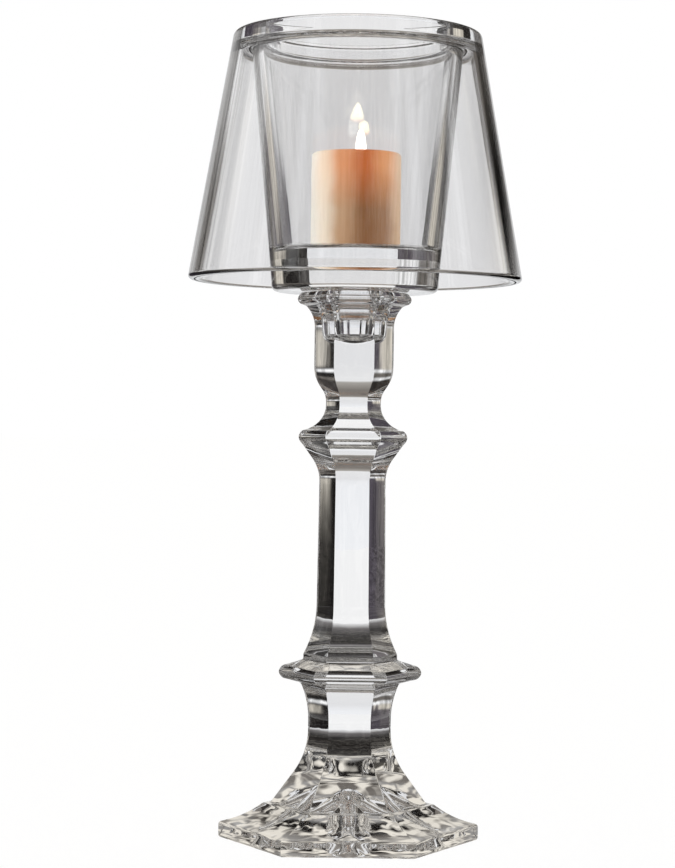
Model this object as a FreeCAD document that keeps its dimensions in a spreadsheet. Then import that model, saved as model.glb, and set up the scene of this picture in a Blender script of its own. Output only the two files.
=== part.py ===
"""Candle lamp with a glass shade, in millimetres, +Z up, standing on z = 0.

A six-sided moulded candlestick holds the peg of a thick glass candle cup. A cone of glass hangs from
the cup's rim by its turned-in crown, and a candle with its wick and wick tab stands in the cup.
The front facet of the candlestick faces -Y.
"""

import FreeCAD
import Part
import Sketcher

import math
import os
import re

# Driving dimensions, one cell each. A radius of the candlestick is measured to the corners of its hexagon.
SIZES = {
    # running gaps between loose pieces, and how far a cut runs past what it cuts
    "seat_gap": 0.2,
    "cut_overrun": 2.0,
    # candlestick foot
    "facet_count": 6,
    "foot_radius": 55.25,
    "foot_edge_height": 7.0,
    "foot_edge_round": 1.1,
    "foot_slope_height": 8.1,
    "foot_slope_sag": 1.1,
    "ledge_width": 3.0,
    # flared body on the foot, up to the collar
    "skirt_height": 13.3,
    "skirt_flare": 9.8,
    "skirt_curve_height": 18.0,
    "skirt_curve_flare": 5.9,
    "leg_radius": 17.6,
    "leg_length": 4.0,
    "leg_head_height": 15.6,
    "leg_head_flare": 3.3,
    # collar
    "collar_radius": 30.4,
    "collar_edge_round": 1.8,
    "collar_under_height": 2.1,
    "collar_edge_height": 5.5,
    "collar_over_height": 2.6,
    # column
    "plinth_height": 2.4,
    "column_foot_height": 21.4,
    "column_foot_flare": 5.4,
    "column_radius": 14.6,
    "column_taper": 0.5,
    "column_length": 52.0,
    "column_head_height": 9.0,
    "column_head_flare": 2.7,
    # knop and waist
    "knop_radius": 23.2,
    "knop_edge_round": 1.6,
    "knop_under_height": 6.7,
    "knop_edge_height": 5.8,
    "knop_over_height": 10.7,
    "waist_radius": 11.7,
    "waist_length": 1.6,
    # bell that holds the socket
    "shoulder_height": 5.2,
    "shoulder_flare": 1.7,
    "bell_round_height": 9.5,
    "bell_flare": 3.5,
    "bell_length": 17.0,
    "bell_head_height": 8.8,
    "bell_head_flare": 3.6,
    "rim_radius": 24.3,
    "rim_edge_round": 1.2,
    "rim_under_height": 0.9,
    "rim_edge_height": 4.1,
    "rim_top_round": 0.8,
    "socket_radius": 11.2,
    "socket_depth": 22.0,
    "socket_lead": 1.0,
    "socket_taper": 1.8,
    # star of round-bottomed flutes under the foot, one under each facet, all meeting at a peak
    "flute_radius": 9.0,
    "flute_reach": 44.0,
    "flute_peak": 17.0,
    # candle cup
    "peg_length": 12.0,
    "peg_play": 0.5,
    "peg_tip_bevel": 1.2,
    "cup_foot_radius": 35.2,
    "cup_foot_bevel": 1.9,
    "cup_mouth_radius": 45.0,
    "cup_height": 102.3,
    "cup_wall": 4.6,
    "cup_floor_thickness": 16.3,
    "cup_floor_bevel": 1.6,
    # shade
    "shade_height": 105.0,
    "shade_hem_radius": 71.1,
    "shade_hem_wall": 5.4,
    "shade_hem_bevel": 1.1,
    "shade_crown_radius": 52.6,
    "shade_crown_wall": 4.8,
    "shade_crown_thickness": 7.2,
    "shade_crown_bevel": 1.8,
    "shade_opening_radius": 38.8,
    "rebate_depth": 1.2,
    "rebate_play": 0.5,
    # candle
    "candle_radius": 19.0,
    "candle_height": 41.7,
    "candle_shoulder_bevel": 1.2,
    "melt_radius": 12.5,
    "melt_depth": 2.0,
    # wick and wick tab
    "wick_radius": 0.8,
    "wick_play": 0.05,
    "wick_stand": 3.2,
    "wick_tip_length": 2.8,
    "wick_tip_angle": 38.0,
    "tab_radius": 9.0,
    "tab_thickness": 0.4,
    "tab_neck_wall": 0.5,
    "tab_neck_height": 3.0,
    "tab_play": 0.1,
}

doc = FreeCAD.newDocument("CandleLamp")
sheet = doc.addObject("Spreadsheet::Sheet", "Sizes")
for row, (alias, number) in enumerate(SIZES.items(), start=1):
    sheet.set(f"A{row}", alias)
    sheet.set(f"B{row}", str(number))
    sheet.setAlias(f"B{row}", alias)
doc.recompute()


def bound(expression):
    """The expression with the name of every size pointed at its cell."""
    return re.sub(r"[a-z_]+", lambda word: f"Sizes.{word[0]}" if word[0] in SIZES else word[0], expression)


def value(expression):
    """What an expression of sizes comes to, as a plain number."""
    found = sheet.evalExpression(bound(expression))
    return float(getattr(found, "Value", found))


class Outline:
    """A closed outline of lines and arcs. Each corner is two expressions, how far it lies across and up."""

    def __init__(self, across, up):
        self.corners = [(across, up, None, 1)]

    def line(self, across, up):
        self.corners.append((across, up, None, 1))

    def arc(self, across, up, radius, turn):
        """Adds an arc of less than half a circle, with turn 1 where it runs anticlockwise, or -1."""
        self.corners.append((across, up, radius, turn))

    def upright_arc(self, across, up, upright_at):
        """Adds an arc that is upright at its start or its end."""
        last_across, last_up = self.corners[-1][:2]
        step_across = f"(({across}) - ({last_across}))"
        step_up = f"(({up}) - ({last_up}))"
        outward = math.copysign(1, value(step_across))
        turn = outward if upright_at == "end" else -outward
        self.arc(across, up, f"({step_across} ^ 2 + {step_up} ^ 2) / abs(2 * {step_across})", turn)

    def bulge(self, across, up, rise, turn):
        """Adds an arc whose middle stands off the straight line by a given rise."""
        last_across, last_up = self.corners[-1][:2]
        chord_squared = f"((({across}) - ({last_across})) ^ 2 + (({up}) - ({last_up})) ^ 2)"
        self.arc(across, up, f"({chord_squared} / 4 + ({rise}) ^ 2) / (2 * ({rise}))", turn)

    def draw(self, sketch):
        """Draws the outline, ties each corner to its expressions and joins the edges end to end."""
        points = [FreeCAD.Vector(value(across), value(up), 0) for across, up, _, _ in self.corners]
        heads = []
        tails = []
        for index, (across, up, radius, turn) in enumerate(self.corners):
            start, end = points[index - 1], points[index]
            if radius is None:
                edge = sketch.addGeometry(Part.LineSegment(start, end))
            else:
                edge = sketch.addGeometry(arc_between(start, end, value(radius), turn))
                bind_constraint(sketch, Sketcher.Constraint("Radius", edge, value(radius)), radius)
            tails.append((edge, 1 if turn > 0 else 2))
            heads.append((edge, 2 if turn > 0 else 1))
            pin_point(sketch, heads[-1], "DistanceX", -2, across)
            pin_point(sketch, heads[-1], "DistanceY", -1, up)
        for index, tail in enumerate(tails):
            sketch.addConstraint(Sketcher.Constraint("Coincident", *heads[index - 1], *tail))


def arc_between(start, end, radius, turn):
    """An arc of less than half a circle from start to end."""
    chord = end - start
    to_centre = math.sqrt(max(radius**2 - chord.Length**2 / 4, 0))
    sideways = FreeCAD.Vector(-chord.y, chord.x, 0).normalize()
    centre = (start + end) * 0.5 + sideways * to_centre * turn
    ends = (start, end) if turn > 0 else (end, start)
    angles = [math.atan2(point.y - centre.y, point.x - centre.x) for point in ends]
    return Part.ArcOfCircle(Part.Circle(centre, FreeCAD.Vector(0, 0, 1), radius), *angles)


def bind_constraint(sketch, constraint, expression):
    """Adds a dimension to a sketch and binds it to an expression of sizes."""
    index = sketch.addConstraint(constraint)
    sketch.setExpression(f"Constraints[{index}]", bound(expression))


def pin_point(sketch, point, kind, zero_axis, expression):
    """Ties a point to its distance from the sketch's origin, one way. A point at zero lies on the axis."""
    distance = value(expression)
    if expression == "0":
        sketch.addConstraint(Sketcher.Constraint("PointOnObject", *point, zero_axis))
    elif distance > 0:
        bind_constraint(sketch, Sketcher.Constraint(kind, -1, 1, *point, distance), expression)
    else:
        bind_constraint(sketch, Sketcher.Constraint(kind, *point, -1, 1, -distance), f"-({expression})")


def new_body(label):
    body = doc.addObject("PartDesign::Body", label)
    body.Label = label
    return body


def origin_feature(body, role):
    return next(feature for feature in body.Origin.OriginFeatures if feature.Role == role)


def new_sketch(body, name, role):
    """A sketch on one of the body's own origin planes."""
    sketch = body.newObject("Sketcher::SketchObject", name)
    sketch.AttachmentSupport = [(origin_feature(body, role), "")]
    sketch.MapMode = "FlatFace"
    return sketch


def turned(body, name, outline, feature="PartDesign::Revolution"):
    """Turns an outline a full turn about Z, added to the body or, as a groove, cut from it."""
    sketch = new_sketch(body, f"{name}_outline", "XZ_Plane")
    outline.draw(sketch)
    doc.recompute()
    solid = body.newObject(feature, name)
    solid.Profile = sketch
    solid.ReferenceAxis = (sketch, ["V_Axis"])
    solid.Angle = 360
    doc.recompute()
    return solid


def bevelled(body, name, corner, size):
    """Bevels the ring that one corner of a turned outline leaves, given how far across and up it is."""
    base = body.Tip
    across, up = value(corner[0]), value(corner[1])
    found = []
    for index, edge in enumerate(base.Shape.Edges, start=1):
        ring = edge.Curve
        if not isinstance(ring, Part.Circle):
            continue
        at_height = math.isclose(ring.Center.z, up, abs_tol=SAME_SIZE)
        if at_height and math.isclose(ring.Radius, across, rel_tol=SAME_SIZE):
            found.append(f"Edge{index}")
    bevel = body.newObject("PartDesign::Chamfer", name)
    bevel.Base = (base, found)
    bevel.setExpression("Size", bound(size))
    doc.recompute()
    return bevel


SAME_SIZE = 1e-5

# The hexagon's flats lie nearer the axis than its corners, by this factor.
TO_FLAT = "cos(180deg / facet_count)"

# The candlestick's facets from the foot up: corner radius reached, rise, the run between, rise of a bulge.
STEM_STEPS = [
    ("foot_radius", "foot_edge_round", "upright at its end", None),
    ("foot_radius", "foot_edge_height - 2 * foot_edge_round", "straight", None),
    ("foot_radius - foot_edge_round", "foot_edge_round", "upright at its start", None),
    ("leg_radius + skirt_curve_flare + skirt_flare + ledge_width", "foot_slope_height",
     "sunk", "foot_slope_sag"),
    ("leg_radius + skirt_curve_flare + skirt_flare", "0", "straight", None),
    ("leg_radius + skirt_curve_flare", "skirt_height", "straight", None),
    ("leg_radius", "skirt_curve_height", "upright at its end", None),
    ("leg_radius", "leg_length", "straight", None),
    ("leg_radius + leg_head_flare", "leg_head_height", "upright at its start", None),
    ("collar_radius - collar_edge_round", "collar_under_height", "straight", None),
    ("collar_radius - collar_edge_round", "collar_edge_height", "raised", "collar_edge_round"),
    ("column_radius + column_foot_flare", "collar_over_height", "straight", None),
    ("column_radius + column_foot_flare", "plinth_height", "straight", None),
    ("column_radius", "column_foot_height", "upright at its end", None),
    ("column_radius - column_taper", "column_length", "straight", None),
    ("column_radius - column_taper + column_head_flare", "column_head_height", "upright at its start", None),
    ("knop_radius - knop_edge_round", "knop_under_height", "straight", None),
    ("knop_radius - knop_edge_round", "knop_edge_height", "raised", "knop_edge_round"),
    ("waist_radius", "knop_over_height", "upright at its end", None),
    ("waist_radius", "waist_length", "straight", None),
    ("waist_radius + shoulder_flare", "shoulder_height", "upright at its start", None),
    ("waist_radius + shoulder_flare + bell_flare", "bell_round_height", "upright at its end", None),
    ("waist_radius + shoulder_flare + bell_flare", "bell_length", "straight", None),
    ("waist_radius + shoulder_flare + bell_flare + bell_head_flare", "bell_head_height",
     "upright at its start", None),
    ("rim_radius - rim_edge_round", "rim_under_height", "straight", None),
    ("rim_radius - rim_edge_round", "rim_edge_height", "raised", "rim_edge_round"),
    ("rim_radius - rim_edge_round - rim_top_round", "rim_top_round", "upright at its start", None),
]

# Levels that several pieces share, from the floor.
STEM_TOP = " + ".join(rise for _, rise, _, _ in STEM_STEPS)
CUP_LEVEL = f"({STEM_TOP} + seat_gap)"
CUP_FLOOR_LEVEL = f"({CUP_LEVEL} + cup_floor_thickness)"
CUP_RIM_LEVEL = f"({CUP_LEVEL} + cup_height)"


def facet_outline():
    """Outline of one facet seen edge-on, from the foot to the rim, closed past the far side of the foot."""
    far_side = "-foot_radius"
    outline = Outline(far_side, "0")
    outline.line(f"{TO_FLAT} * (foot_radius - foot_edge_round)", "0")
    level = "0"
    for radius, rise, run, bulge in STEM_STEPS:
        across = f"{TO_FLAT} * ({radius})"
        level = f"{level} + {rise}"
        if run == "straight":
            outline.line(across, level)
        elif run == "raised":
            outline.bulge(across, level, f"{TO_FLAT} * {bulge}", 1)
        elif run == "sunk":
            outline.bulge(across, level, bulge, -1)
        else:
            outline.upright_arc(across, level, run.split()[-1])
    outline.line(far_side, level)
    return outline


def make_candlestick():
    """Moulded candlestick: what the slabs behind its facets share, less the socket and the flutes below."""
    facet_sketch = doc.addObject("Sketcher::SketchObject", "facet_outline")
    upright = FreeCAD.Rotation(FreeCAD.Vector(1, 0, 0), 90)
    facet_sketch.Placement = FreeCAD.Placement(FreeCAD.Vector(), upright)
    facet_outline().draw(facet_sketch)
    doc.recompute()
    slabs = []
    count = round(value("facet_count"))
    for index in range(count):
        slab = doc.addObject("Part::Extrusion", f"facet_slab_{index + 1}")
        slab.Base = facet_sketch
        slab.DirMode = "Normal"
        slab.Symmetric = True
        slab.Solid = True
        slab.setExpression("LengthFwd", bound("2 * (foot_radius + cut_overrun)"))
        turn = FreeCAD.Rotation(FreeCAD.Vector(0, 0, 1), 360 * index / count - 90)
        slab.Placement = FreeCAD.Placement(FreeCAD.Vector(), turn)
        slabs.append(slab)
    stem = doc.addObject("Part::MultiCommon", "facets")
    stem.Shapes = slabs
    doc.recompute()

    body = new_body("candlestick")
    body.BaseFeature = stem
    doc.recompute()

    socket = Outline("0", f"{STEM_TOP} - socket_depth")
    socket.line("socket_radius - socket_taper", f"{STEM_TOP} - socket_depth")
    socket.line("socket_radius", f"{STEM_TOP} - socket_lead")
    socket.line("socket_radius + socket_lead", STEM_TOP)
    socket.line("socket_radius + socket_lead", f"{STEM_TOP} + cut_overrun")
    socket.line("0", f"{STEM_TOP} + cut_overrun")
    turned(body, "socket", socket, "PartDesign::Groove")

    slope = "atan(flute_peak / flute_reach)"
    flute = body.newObject("PartDesign::SubtractiveCylinder", "flute")
    flute.Placement = FreeCAD.Placement(FreeCAD.Vector(), FreeCAD.Rotation(FreeCAD.Vector(-1, 0, 0), 90))
    for target, expression in (
        ("Radius", "flute_radius"),
        ("Height", f"flute_reach / cos({slope}) + cut_overrun"),
        ("Placement.Base.z", f"flute_peak - flute_radius / cos({slope})"),
        ("Placement.Rotation.Angle", f"90deg + {slope}"),
    ):
        flute.setExpression(target, bound(expression))
    doc.recompute()
    flutes = body.newObject("PartDesign::PolarPattern", "flutes")
    flutes.Originals = [flute]
    flutes.Axis = (origin_feature(body, "Z_Axis"), [""])
    flutes.Angle = 360
    flutes.setExpression("Occurrences", bound("facet_count"))
    body.Tip = flutes
    doc.recompute()
    return body


def make_candle_cup():
    """Thick glass cup with a peg under its foot. Its own origin is at the peg's tip."""
    body = new_body("candle_cup")
    body.setExpression("Placement.Base.z", bound(f"{CUP_LEVEL} - peg_length"))
    doc.recompute()
    peg_taper = "socket_taper * peg_length / (socket_depth - socket_lead)"
    peg_tip = (f"socket_radius - peg_play - {peg_taper}", "0")
    foot = ("cup_foot_radius", "peg_length")
    floor_corner = ("cup_foot_radius - cup_wall", "peg_length + cup_floor_thickness")
    outline = Outline("0", "0")
    outline.line(*peg_tip)
    outline.line("socket_radius - peg_play", "peg_length")
    outline.line(*foot)
    outline.line("cup_mouth_radius", "peg_length + cup_height")
    outline.line("cup_mouth_radius - cup_wall", "peg_length + cup_height")
    outline.line(*floor_corner)
    outline.line("0", "peg_length + cup_floor_thickness")
    turned(body, "cup_wall_and_peg", outline)
    bevelled(body, "peg_tip_bevel", peg_tip, "peg_tip_bevel")
    bevelled(body, "foot_bevel", foot, "cup_foot_bevel")
    bevelled(body, "floor_bevel", floor_corner, "cup_floor_bevel")
    return body


def make_shade():
    """Cone of glass, open below. Its crown turns in over the cup's rim and has a rebate that finds it."""
    body = new_body("shade")
    seat_up = "(shade_height - shade_crown_thickness)"
    body.setExpression("Placement.Base.z", bound(f"{CUP_RIM_LEVEL} + seat_gap - {seat_up}"))
    doc.recompute()
    under_crown = f"({seat_up} - rebate_depth)"
    spread = "(shade_hem_radius - shade_crown_radius) / shade_height"
    inner_top = f"shade_crown_radius + {spread} * (shade_height - {under_crown}) - shade_crown_wall"
    hem_outer = ("shade_hem_radius", "0")
    crown = ("shade_crown_radius", "shade_height")
    outline = Outline("shade_hem_radius - shade_hem_wall", "0")
    outline.line(*hem_outer)
    outline.line(*crown)
    outline.line("shade_opening_radius", "shade_height")
    outline.line("shade_opening_radius", seat_up)
    outline.line("cup_mouth_radius + rebate_play", seat_up)
    outline.line("cup_mouth_radius + rebate_play", under_crown)
    outline.line(inner_top, under_crown)
    turned(body, "cone_and_crown", outline)
    bevelled(body, "hem_bevel", hem_outer, "shade_hem_bevel")
    bevelled(body, "crown_bevel", crown, "shade_crown_bevel")
    return body


def make_candle():
    """Candle with a melted hollow in its top, bored for the wick and recessed below for the wick tab."""
    body = new_body("candle")
    body.setExpression("Placement.Base.z", bound(f"{CUP_FLOOR_LEVEL} + seat_gap"))
    doc.recompute()
    bore = "wick_radius + wick_play"
    neck = f"{bore} + tab_neck_wall + tab_play"
    recess_top = "tab_thickness + tab_play"
    shoulder = ("candle_radius", "candle_height")
    outline = Outline("tab_radius + tab_play", "0")
    outline.line("candle_radius", "0")
    outline.line(*shoulder)
    outline.line("melt_radius", "candle_height")
    outline.line("melt_radius", "candle_height - melt_depth")
    outline.line(bore, "candle_height - melt_depth")
    outline.line(bore, "tab_neck_height + tab_play")
    outline.line(neck, "tab_neck_height + tab_play")
    outline.line(neck, recess_top)
    outline.line("tab_radius + tab_play", recess_top)
    turned(body, "wax", outline)
    bevelled(body, "shoulder_bevel", shoulder, "candle_shoulder_bevel")
    return body


def make_wick():
    """Round wick, straight up through the candle and bent over above the melted hollow."""
    body = new_body("wick")
    body.setExpression("Placement.Base.z", bound(f"{CUP_FLOOR_LEVEL} + seat_gap"))
    straight = "(candle_height - melt_depth + wick_stand)"
    tip_across = "wick_tip_length * sin(wick_tip_angle * 1deg)"
    tip_up = f"{straight} + wick_tip_length * cos(wick_tip_angle * 1deg)"
    path = new_sketch(body, "wick_path", "XZ_Plane")
    bend = FreeCAD.Vector(0, value(straight), 0)
    tip = FreeCAD.Vector(value(tip_across), value(tip_up), 0)
    stem = path.addGeometry(Part.LineSegment(FreeCAD.Vector(), bend))
    lean = path.addGeometry(Part.LineSegment(bend, tip))
    path.addConstraint(Sketcher.Constraint("Coincident", stem, 1, -1, 1))
    path.addConstraint(Sketcher.Constraint("Coincident", stem, 2, lean, 1))
    pin_point(path, (stem, 2), "DistanceX", -2, "0")
    pin_point(path, (stem, 2), "DistanceY", -1, straight)
    pin_point(path, (lean, 2), "DistanceX", -2, tip_across)
    pin_point(path, (lean, 2), "DistanceY", -1, tip_up)
    section = new_sketch(body, "wick_section", "XY_Plane")
    circle = Part.Circle(FreeCAD.Vector(), FreeCAD.Vector(0, 0, 1), value("wick_radius"))
    ring = section.addGeometry(circle)
    section.addConstraint(Sketcher.Constraint("Coincident", ring, 3, -1, 1))
    bind_constraint(section, Sketcher.Constraint("Radius", ring, value("wick_radius")), "wick_radius")
    doc.recompute()
    pipe = body.newObject("PartDesign::AdditivePipe", "wick_pipe")
    pipe.Profile = section
    pipe.Spine = (path, ["Edge1", "Edge2"])
    pipe.Transition = "Right corner"
    doc.recompute()
    return body


def make_wick_tab():
    """Thin metal tab with a short neck that grips the foot of the wick."""
    body = new_body("wick_tab")
    body.setExpression("Placement.Base.z", bound(f"{CUP_FLOOR_LEVEL} + seat_gap"))
    bore = "wick_radius + wick_play"
    neck = f"{bore} + tab_neck_wall"
    outline = Outline(bore, "0")
    outline.line("tab_radius", "0")
    outline.line("tab_radius", "tab_thickness")
    outline.line(neck, "tab_thickness")
    outline.line(neck, "tab_neck_height")
    outline.line(bore, "tab_neck_height")
    turned(body, "tab_and_neck", outline)
    return body


pieces = [
    make_candlestick(),
    make_candle_cup(),
    make_shade(),
    make_candle(),
    make_wick(),
    make_wick_tab(),
]
doc.recompute()

for item in doc.Objects:
    if {"Invalid", "Error"} & set(item.State):
        raise RuntimeError(f"{item.Label} did not build: {item.State}")
for piece in pieces:
    if piece.Shape.isNull() or not piece.Shape.isValid() or len(piece.Shape.Solids) != 1:
        raise RuntimeError(f"{piece.Label} is not one valid solid")

os.makedirs("parts", exist_ok=True)
for piece in pieces:
    piece.Shape.exportStep(f"parts/{piece.Label}.step")
    box = piece.Shape.BoundBox
    print(f"{piece.Label}: z {box.ZMin:.2f} to {box.ZMax:.2f}, x {box.XMin:.2f} to {box.XMax:.2f}, "
          f"volume {piece.Shape.Volume / 1000:.2f} cm3")
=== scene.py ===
"""Candle lamp with a glass shade, dressed for its photograph. Metres, +Z up, standing on z = 0."""
import math
import bpy
import numpy as np
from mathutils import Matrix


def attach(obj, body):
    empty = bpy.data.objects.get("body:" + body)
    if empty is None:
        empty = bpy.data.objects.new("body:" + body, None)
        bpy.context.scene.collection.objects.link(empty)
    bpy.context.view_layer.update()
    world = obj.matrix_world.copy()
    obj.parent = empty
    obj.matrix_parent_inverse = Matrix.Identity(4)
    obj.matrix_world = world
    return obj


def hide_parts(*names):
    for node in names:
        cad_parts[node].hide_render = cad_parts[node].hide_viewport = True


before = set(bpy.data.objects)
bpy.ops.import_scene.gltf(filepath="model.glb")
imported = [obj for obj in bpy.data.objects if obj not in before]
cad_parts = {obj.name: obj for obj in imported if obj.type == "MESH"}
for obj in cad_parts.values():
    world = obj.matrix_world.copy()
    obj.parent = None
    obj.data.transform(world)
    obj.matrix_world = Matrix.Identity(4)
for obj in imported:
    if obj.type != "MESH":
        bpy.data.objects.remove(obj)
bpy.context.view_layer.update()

scene = bpy.context.scene
scene.view_settings.view_transform = "Standard"
scene.cycles.max_bounces = 40
scene.cycles.transmission_bounces = 40
scene.cycles.glossy_bounces = 16
scene.cycles.diffuse_bounces = 3
scene.cycles.blur_glossy = 0.0
scene.cycles.sample_clamp_indirect = 6.0
scene.cycles.use_denoising = True

# ---------------------------------------------------------------- camera
# The photograph was taken level, from about a metre away and a little left of the lamp's axis. Its cup and
# shade lean a little to the right, so the camera is rolled by most of that lean.
CAMERA_PLACE = (-0.0066, -1.02, 0.172)
CAMERA_LENS = 99.5
CAMERA_ROLL = 0.72
camera_data = bpy.data.cameras.new("camera")
camera_data.lens = CAMERA_LENS
camera_data.sensor_width = 36.0
camera = bpy.data.objects.new("camera", camera_data)
scene.collection.objects.link(camera)
camera.location = CAMERA_PLACE
camera.rotation_euler = (math.radians(90), 0, 0)
camera.rotation_mode = "XYZ"
camera.rotation_euler.rotate_axis("Z", math.radians(CAMERA_ROLL))
scene.camera = camera

# ---------------------------------------------------------------- studio
# A white room: a pale floor that keeps the lamp's shadow, a white surround, and round the lamp pale and dark
# cards that only the glass sees, as a photographer sets them to draw clear glass.
ROOM_LIGHT = (1.0, 0.99, 0.97)


def link_object(name, mesh):
    made = bpy.data.objects.new(name, mesh)
    scene.collection.objects.link(made)
    return made


def background_share(nodes, links):
    """One for the rays that show a background (camera, mirror or through glass) and nought for those that
    carry light from it to a dull surface."""
    path = nodes.new("ShaderNodeLightPath")
    total = path.outputs["Is Camera Ray"]
    for other in ("Is Glossy Ray", "Is Transmission Ray"):
        add = nodes.new("ShaderNodeMath")
        add.operation = "ADD"
        add.use_clamp = True
        links.new(total, add.inputs[0])
        links.new(path.outputs[other], add.inputs[1])
        total = add.outputs[0]
    lit = nodes.new("ShaderNodeMath")
    lit.operation = "LESS_THAN"
    lit.inputs[1].default_value = 0.5
    links.new(path.outputs["Diffuse Depth"], lit.inputs[0])
    both = nodes.new("ShaderNodeMath")
    both.operation = "MULTIPLY"
    links.new(total, both.inputs[0])
    links.new(lit.outputs[0], both.inputs[1])
    return both.outputs[0]


world = bpy.data.worlds.new("surround")
scene.world = world
world.use_nodes = True
nodes, links = world.node_tree.nodes, world.node_tree.links
nodes.clear()
white = nodes.new("ShaderNodeBackground")
white.inputs["Color"].default_value = (1, 1, 1, 1)
white.inputs["Strength"].default_value = 1.0
soft = nodes.new("ShaderNodeBackground")
soft.inputs["Color"].default_value = (*ROOM_LIGHT, 1)
soft.inputs["Strength"].default_value = 1.0
mix = nodes.new("ShaderNodeMixShader")
out = nodes.new("ShaderNodeOutputWorld")
links.new(background_share(nodes, links), mix.inputs[0])
links.new(soft.outputs[0], mix.inputs[1])
links.new(white.outputs[0], mix.inputs[2])
links.new(mix.outputs[0], out.inputs["Surface"])

FLOOR_REACH = 60.0
FLOOR_LEVEL = -0.0002
FLOOR_GLOW = 1.03
FLOOR_GLOW_SHARE = 0.82
floor_mesh = bpy.data.meshes.new("floor")
floor_mesh.from_pydata([
    (-FLOOR_REACH, -FLOOR_REACH, FLOOR_LEVEL), (FLOOR_REACH, -FLOOR_REACH, FLOOR_LEVEL),
    (FLOOR_REACH, FLOOR_REACH, FLOOR_LEVEL), (-FLOOR_REACH, FLOOR_REACH, FLOOR_LEVEL)], [], [(0, 1, 2, 3)])
floor = link_object("floor", floor_mesh)
floor_look = bpy.data.materials.new("pale_floor")
floor_look.use_nodes = True
nodes, links = floor_look.node_tree.nodes, floor_look.node_tree.links
nodes.clear()
paint = nodes.new("ShaderNodeBsdfDiffuse")
paint.inputs["Color"].default_value = (0.86, 0.86, 0.86, 1)
glow = nodes.new("ShaderNodeEmission")
glow.inputs["Color"].default_value = (1, 1, 1, 1)
glow.inputs["Strength"].default_value = FLOOR_GLOW
mix = nodes.new("ShaderNodeMixShader")
share = nodes.new("ShaderNodeMath")
share.operation = "MULTIPLY"
share.inputs[1].default_value = FLOOR_GLOW_SHARE
out = nodes.new("ShaderNodeOutputMaterial")
links.new(background_share(nodes, links), share.inputs[0])
links.new(share.outputs[0], mix.inputs[0])
links.new(paint.outputs[0], mix.inputs[1])
links.new(glow.outputs[0], mix.inputs[2])
links.new(mix.outputs[0], out.inputs["Surface"])
floor_mesh.materials.append(floor_look)

CARD_RADIUS = 2.2
CARD_TOP = 3.0
CARD_FOOT = 0.0004
STREAKS_PER_RADIAN = 40
STREAK_STRETCH = 0.25
PATCHES_ACROSS = 6


def place_card(name, turns, circles, look, tones=None):
    """A stage piece that only the glass sees: a grid over turns round the lamp (degrees from straight behind,
    rising towards +X) and circles, each given by its radius and height. Its points may carry tones."""
    around = np.radians(90 - np.asarray(turns))
    points = [(r * math.cos(turn), r * math.sin(turn), z) for r, z in circles for turn in around]
    width = len(around)
    faces = [(row * width + k, row * width + k + 1, (row + 1) * width + k + 1, (row + 1) * width + k)
             for row in range(len(circles) - 1) for k in range(width - 1)]
    mesh = bpy.data.meshes.new(name)
    mesh.from_pydata(points, [], faces)
    if tones is not None:
        mark = mesh.attributes.new("tone", "FLOAT_COLOR", "POINT")
        mark.data.foreach_set("color", np.dstack([tones, np.ones(tones.shape[:2])]).ravel())
    mesh.materials.append(look)
    card = link_object(name, mesh)
    card.visible_camera = False
    card.visible_diffuse = False
    card.visible_shadow = False


def turns_between(start, end):
    """Evenly spaced turns, about two degrees apart."""
    return np.linspace(start, end, max(int((end - start) / 2), 2) + 1)


def glow_for_glass(nodes, links, tone):
    """Ends a card's look: it glows by its tone to the glass, and like the room to all else."""
    glow = nodes.new("ShaderNodeEmission")
    links.new(tone, glow.inputs["Color"])
    path = nodes.new("ShaderNodeLightPath")
    lit = nodes.new("ShaderNodeMath")
    lit.operation = "GREATER_THAN"
    lit.inputs[1].default_value = 0.5
    links.new(path.outputs["Diffuse Depth"], lit.inputs[0])
    plain = nodes.new("ShaderNodeEmission")
    plain.inputs["Color"].default_value = (*ROOM_LIGHT, 1)
    mix = nodes.new("ShaderNodeMixShader")
    out = nodes.new("ShaderNodeOutputMaterial")
    links.new(lit.outputs[0], mix.inputs[0])
    links.new(glow.outputs[0], mix.inputs[1])
    links.new(plain.outputs[0], mix.inputs[2])
    links.new(mix.outputs[0], out.inputs["Surface"])


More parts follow.
